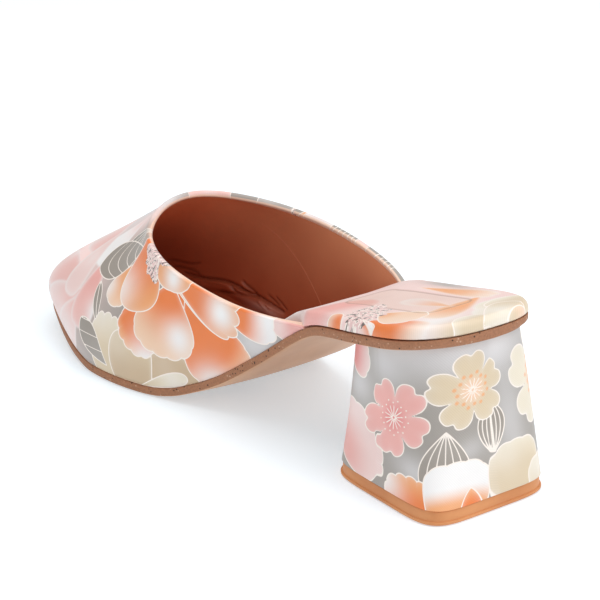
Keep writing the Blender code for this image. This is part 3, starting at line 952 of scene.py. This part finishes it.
def make_lift():
    z, inset = np.array(LIFT_ROWS).T[:, :, None]
    angle = np.linspace(0, 2 * pi, LIFT_STEPS + 1)
    x, y = [np.sign(v) * np.abs(v) ** (2 / LIFT_POWER) for v in (np.cos(angle), np.sin(angle))]
    x = HEEL_FOOT_AT[0] + 0.5 * LIFT_LENGTH + (0.5 * LIFT_LENGTH - inset) * x
    y = HEEL_FOOT_AT[1] + (0.5 * LIFT_WIDTH - inset) * y
    piece, _ = skin("top_lift_slab", np.stack([x, y, z + 0 * x], axis=-1))
    return piece


SOLE_COLUMNS = 260
# Round the back of the seat: more trim at the sole's lower edge, its rise, and how far it draws in outside
SEAT_TRIM = 2.2
SEAT_TRIM_RISE = 0.8
SEAT_DRAWN_IN = 0.035


def make_sole():
    u = np.linspace(0, 1, SOLE_COLUMNS + 1)
    v = u - 0.86 * np.sin(2 * pi * u) / (2 * pi)
    x = SEAT_BACK + 0.02 + (LENGTH - SEAT_BACK - 0.04) * v
    behind = 1 - ramp(x, 3, 28)
    left = edge(x, 1)
    right = edge(x, -1) * (1 - SEAT_DRAWN_IN * behind)
    low = underside(x)
    high = sole_top(x)
    trim = np.minimum(SOLE_CHAMFER + SEAT_TRIM * behind, 0.3 * (left - right))
    lift = SOLE_CHAMFER + SEAT_TRIM_RISE * behind
    crown = SOLE_CROWN * span(x, 92, 112, 122, 142)
    # Round each section: y, z, and how much of the trimmed edge's finish shows
    ring = []
    for share in np.linspace(0, 1, 13):
        y = (left - trim) * (1 - share) + (right + trim) * share
        ring.append((y, low - crown * sin(pi * share) ** 0.8, behind * (share in (0, 1))))
    for side, y in ((-1, right), (1, left)):
        wall = [(y - side * 0.2 * trim, low + 0.65 * lift, 0.6), (y, low + lift, 1),
                (y, 0.5 * (low + lift + high), 1), (y, high - 0.25, 1), (y - side * 0.25, high, 1)]
        ring += [(yy, zz, np.maximum(shown, behind)) for yy, zz, shown in wall[::-side]]
    ring.append(ring[0])
    y, z, band = [np.stack(values, axis=1) for values in zip(*ring)]
    band[[0, -1]] = 1
    piece, at = skin("outsole_trimmed", np.stack([x[:, None] + 0 * y, y, z], axis=-1))
    keep(piece, "band", band[at])
    return piece


# Materials

def maths(operation):
    """A method that adds the Math node of an operation."""
    def method(self, *others):
        values = dict(enumerate((self, *others)))
        return self.finish.node("ShaderNodeMath", {"operation": operation}, values)

    return method


class Value:
    """One socket of a material; arithmetic on it adds the Math nodes that it needs."""

    def __init__(self, finish, socket):
        self.finish = finish
        self.socket = socket

    __add__ = __radd__ = maths("ADD")
    __sub__ = maths("SUBTRACT")
    __mul__ = __rmul__ = maths("MULTIPLY")
    __abs__ = maths("ABSOLUTE")
    sine = maths("SINE")
    least = maths("MINIMUM")

    def __rsub__(self, other):
        return self.finish.node("ShaderNodeMath", {"operation": "SUBTRACT"}, {0: other, 1: self})

    def between(self, low, high):
        """0 below low, 1 above high and smooth between."""
        ends = {"Value": self, "From Min": low, "From Max": high}
        return self.finish.node("ShaderNodeMapRange", {"interpolation_type": "SMOOTHSTEP"}, ends)


class Finish:
    """One material; node() adds any node, and its settings come before its sockets."""

    def __init__(self, name, **constants):
        self.material = bpy.data.materials.new(name)
        self.material.use_nodes = True
        self.tree = self.material.node_tree
        self.shader = self.tree.nodes["Principled BSDF"]
        for socket, value in constants.items():
            self.shader.inputs[socket.replace("_", " ")].default_value = value

    def node(self, kind, settings=None, sockets=None, output=0):
        made = self.tree.nodes.new(kind)
        for name, value in (settings or {}).items():
            setattr(made, name, value)
        for name, value in (sockets or {}).items():
            self.plug(made.inputs[name], value)
        return Value(self, made.outputs[output])

    def plug(self, socket, value):
        if isinstance(value, Value):
            self.tree.links.new(value.socket, socket)
        elif isinstance(value, np.ndarray):
            socket.default_value = (*value, 1) if len(socket.default_value) == 4 else tuple(value)
        else:
            socket.default_value = value

    def stored(self, name, output="Fac"):
        return self.node("ShaderNodeAttribute", {"attribute_name": name}, output=output)

    def place(self):
        return self.node("ShaderNodeTexCoord", output="Object")

    def noise(self, vector, scale, detail=2):
        return self.node("ShaderNodeTexNoise", {}, {"Vector": vector, "Scale": scale, "Detail": detail})

    def blend(self, first, second, share):
        sockets = {"Factor": share, 6: first, 7: second}
        return self.node("ShaderNodeMix", {"data_type": "RGBA"}, sockets, output=2)

    def part(self, vector, axis):
        return self.node("ShaderNodeSeparateXYZ", {}, {"Vector": vector}, output=axis)

    def cells(self, vector, scale, output="Distance"):
        return self.node("ShaderNodeTexVoronoi", {}, {"Vector": vector, "Scale": scale}, output)

    def done(self, colour, rough, height, strength, distance):
        """Feeds the shader its colour, its roughness and a bump, and gives the material."""
        sockets = {"Height": height, "Strength": strength, "Distance": distance}
        bump = self.node("ShaderNodeBump", {}, sockets)
        for name, value in (("Base Color", colour), ("Roughness", rough), ("Normal", bump)):
            self.plug(self.shader.inputs[name], value)
        return self.material


TWILL = 0.9
LACE_DARK = ink(120, 108, 104)
LACE_PINK = ink(235, 200, 196)
# Painted highlight along the lining's seam
LINING_SEAM_LIT = ink(232, 156, 122)
# Painted light: the ink of high lining
LINING_LIT = ink(250, 172, 128)
# Painted reflection: a pale patch low on the lining near the toe
LINING_PAINTED_REFLECTION = ink(206, 176, 166)
# Painted shade for the creases' troughs
LINING_SHADE = ink(92, 34, 16)
# Painted shade: the ink of low lining, also the brown of the sock
LINING_SHADED_BROWN = ink(156, 70, 40)


def print_finish(name, sock=False):
    """Printed satin cloth: the drawn inks, pale outlines, lacy stamens, a fine twill and a soft sheen."""
    f = Finish(name, Sheen_Weight=0.12, Sheen_Roughness=0.4, IOR=1.45)
    thread = f.stored("thread", "Vector")
    colour = f.stored("print_colour", "Color")
    edge_lanes = f.stored("print_edge", "Vector")
    nearest = f.stored("print_drawn")
    for axis in range(3):
        nearest = nearest.least(abs(f.part(edge_lanes, axis)))
    line = 1 - nearest.between(0.12, 0.30)
    ring = 1 - abs(f.cells(thread, 0.85) - 0.38).between(0.05, 0.14)
    dark = f.noise(thread, 0.55, 1).between(0.52, 0.60)
    lace = f.blend(f.blend(LACE_PINK, LACE_DARK, dark), LINE, ring)
    colour = f.blend(colour, lace, f.stored("print_lace").between(0.4, 0.6))
    colour = f.blend(colour, LINE, line)
    warp, weft = f.part(thread, 0), f.part(thread, 1)
    twill = ((warp + weft) * (2 * pi / TWILL)).sine()
    cross = ((warp - weft) * (4 * pi / TWILL)).sine()
    shade = twill * 0.02 + f.noise(thread, 0.05, 3) * 0.16 + 0.90
    shades = f.node("ShaderNodeCombineXYZ", {}, {0: shade, 1: shade, 2: shade})
    colour = f.node("ShaderNodeVectorMath", {"operation": "MULTIPLY"}, {0: colour, 1: shades})
    if sock:
        brown = f.blend(LINING_SHADED_BROWN, LINING_LIT, f.noise(thread, 0.06, 3) * 0.3)
        colour = f.blend(colour, brown, f.stored("sock"))
    rough = f.noise(thread, 0.4) * 0.12 + 0.36
    return f.done(colour, rough, twill + cross * 0.6, 0.10, 0.00008)


def lining_finish():
    """Smooth rust lining with a fine grain and a soft sheen; painted light and shade make it lighter high
    up and darker low down, with painted shade in the crease troughs, a painted reflection low near the toe
    and a painted highlight along the seam.
    """
    f = Finish("rust_lining", IOR=1.45)
    spot = f.place()
    # Painted light and shade: lighter high on the lining, darker low down, with a random tone
    lit = f.stored("level").between(0, 1.5) + (f.noise(spot, 30, 3) - 0.5) * 0.3
    colour = f.blend(LINING_SHADED_BROWN, LINING_LIT, lit)
    # Painted reflection: a pale patch low on the lining near the toe
    colour = f.blend(colour, LINING_PAINTED_REFLECTION, f.stored("worn") * 0.7)
    # Painted shade in the creases' troughs
    colour = f.blend(colour, LINING_SHADE, f.stored("trough") * 0.5)
    seam = f.stored("seam")
    shown = f.stored("seam_shown")
    line = (1 - abs(seam).between(0.15, 0.55)) * shown
    # Painted highlight along the seam's ridge, beside its bump
    colour = f.blend(colour, LINING_SEAM_LIT, line * 0.5)
    rough = f.noise(spot, 120) * 0.15 + 0.38
    step = seam.between(-0.6, 0.4) * shown
    return f.done(colour, rough, f.noise(spot, 1400, 3) * 0.2 + step, 0.35, 0.0002)


SPECK_SCALE = 900
EDGE_BROWN = ink(176, 121, 88)
EDGE_DARK = ink(66, 42, 30)
EDGE_PALE = ink(216, 180, 152)
UNDER_TAN = ink(214, 166, 130)
UNDER_DEEP = ink(198, 148, 112)


def sole_finish():
    """A speckled, cork-like trimmed edge and a plain tan underside."""
    f = Finish("tan_sole", IOR=1.45)
    spot = f.place()
    band = f.stored("band")
    speck = 1 - f.cells(spot, SPECK_SCALE).between(0.22, 0.36)
    pick = f.part(f.cells(spot, SPECK_SCALE, "Color"), 0)
    mottle = f.noise(spot, 1500, 3)
    colour = f.blend(EDGE_BROWN, EDGE_DARK, (1 - mottle.between(0.25, 0.75)) * 0.30)
    colour = f.blend(colour, EDGE_PALE, speck * (1 - pick.between(0.14, 0.18)) * 0.7)
    colour = f.blend(colour, EDGE_DARK, speck * pick.between(0.82, 0.86))
    under = f.blend(UNDER_DEEP, UNDER_TAN, f.noise(spot, 35, 3).between(0.3, 0.7))
    colour = f.blend(under, colour, band.between(0.4, 0.6))
    rough = band * 0.3 + f.noise(spot, 90) * 0.15 + 0.36
    return f.done(colour, rough, mottle * (band * 0.9 + 0.1), 0.35, 0.0003)


LIFT_TAN = ink(222, 152, 98)
LIFT_DEEP = ink(206, 134, 82)


def lift_finish():
    """Tan rubber of the top lift, faintly mottled."""
    f = Finish("tan_top_lift", IOR=1.45)
    spot = f.place()
    colour = f.blend(LIFT_DEEP, LIFT_TAN, f.noise(spot, 60, 4).between(0.3, 0.7))
    rough = f.noise(spot, 150) * 0.2 + 0.38
    return f.done(colour, rough, f.noise(spot, 1100), 0.12, 0.0002)


def dress(piece, material, node=None):
    """Gives a piece its finish and body, and hides the solid it stands for."""
    piece.data.materials.append(material)
    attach(piece, "root")
    if node:
        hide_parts(node)


dress(make_upper(), print_finish("printed_vamp"), "upper")
dress(make_lining(), lining_finish())
footbed = make_footbed()
dress(footbed, print_finish("printed_footbed", sock=True), "footbed")
dress(make_heel(), print_finish("printed_heel"), "heel_block")
dress(make_lift(), lift_finish(), "top_lift")
dress(make_sole(), sole_finish(), "outsole")


# Stage

FLOOR_GREY = (0.76, 0.76, 0.76, 1)
FLOOR_GLOW = (0.82, 1.04, 1.18, 1)
ROOM_LIGHT = 0.44
# Lamps: name, place, aim, width, power
LAMPS = [
    ("top", (0.1, 0, 1.6), (0, 0, 0), 1.6, 15),
    ("key", (-0.9, -0.45, 0.9), (0, 0, 0.03), 0.8, 6),
    ("front", (-0.55, 0.8, 0.85), (0.05, 0, 0.03), 0.8, 1.6),
]


def make_floor():
    bm = bmesh.new()
    bmesh.ops.create_grid(bm, x_segments=1, y_segments=1, size=4)
    bmesh.ops.translate(bm, verts=bm.verts, vec=(0, 0, -0.0002))
    mesh = bpy.data.meshes.new("pale_floor")
    bm.to_mesh(mesh)
    bm.free()
    finish = Finish("pale_floor", Roughness=0.9, Base_Color=FLOOR_GREY,
                    Emission_Color=FLOOR_GLOW, Emission_Strength=0.36)
    mesh.materials.append(finish.material)
    floor = linked("pale_floor", mesh)


def aimed(name, data, place, aim):
    """Puts a lamp or the camera at a place, turned towards its aim."""
    stand = linked(name, data)
    stand.location = place
    stand.rotation_mode = "QUATERNION"
    stand.rotation_quaternion = (Vector(aim) - Vector(place)).to_track_quat("-Z", "Y")
    return stand


make_floor()
for name, place, aim, width, power in LAMPS:
    light = bpy.data.lights.new(name, "AREA")
    light.shape = "RECTANGLE"
    light.size = light.size_y = width
    light.energy = power
    aimed(name, light, place, aim)
world = bpy.data.worlds.new("studio")
world.use_nodes = True
room = world.node_tree.nodes["Background"].inputs
room["Color"].default_value = (1, 1, 1, 1)
room["Strength"].default_value = ROOM_LIGHT
bpy.context.scene.world = world
bpy.context.scene.view_settings.view_transform = "Standard"

# Camera: round the shoe from behind on its inner side, and above it
CAMERA_SWING = 36.5
CAMERA_RISE = 22.4
CAMERA_AWAY = 691.2
CAMERA_AIM = np.array([96, 0, 33.6])
CAMERA_LENS = 114.6
CAMERA_SHIFT = (-0.0325, 0.045)
swing = radians(CAMERA_SWING)
rise = radians(CAMERA_RISE)
back = Vector((-cos(swing) * cos(rise), sin(swing) * cos(rise), sin(rise)))
aim = Vector(to_frame(CAMERA_AIM))
camera = aimed("camera", bpy.data.cameras.new("camera"), aim + back * CAMERA_AWAY * MM, aim)
camera.data.sensor_width = 36
camera.data.lens = CAMERA_LENS
camera.data.shift_x, camera.data.shift_y = CAMERA_SHIFT
bpy.context.scene.camera = camera

bpy.context.view_layer.update()
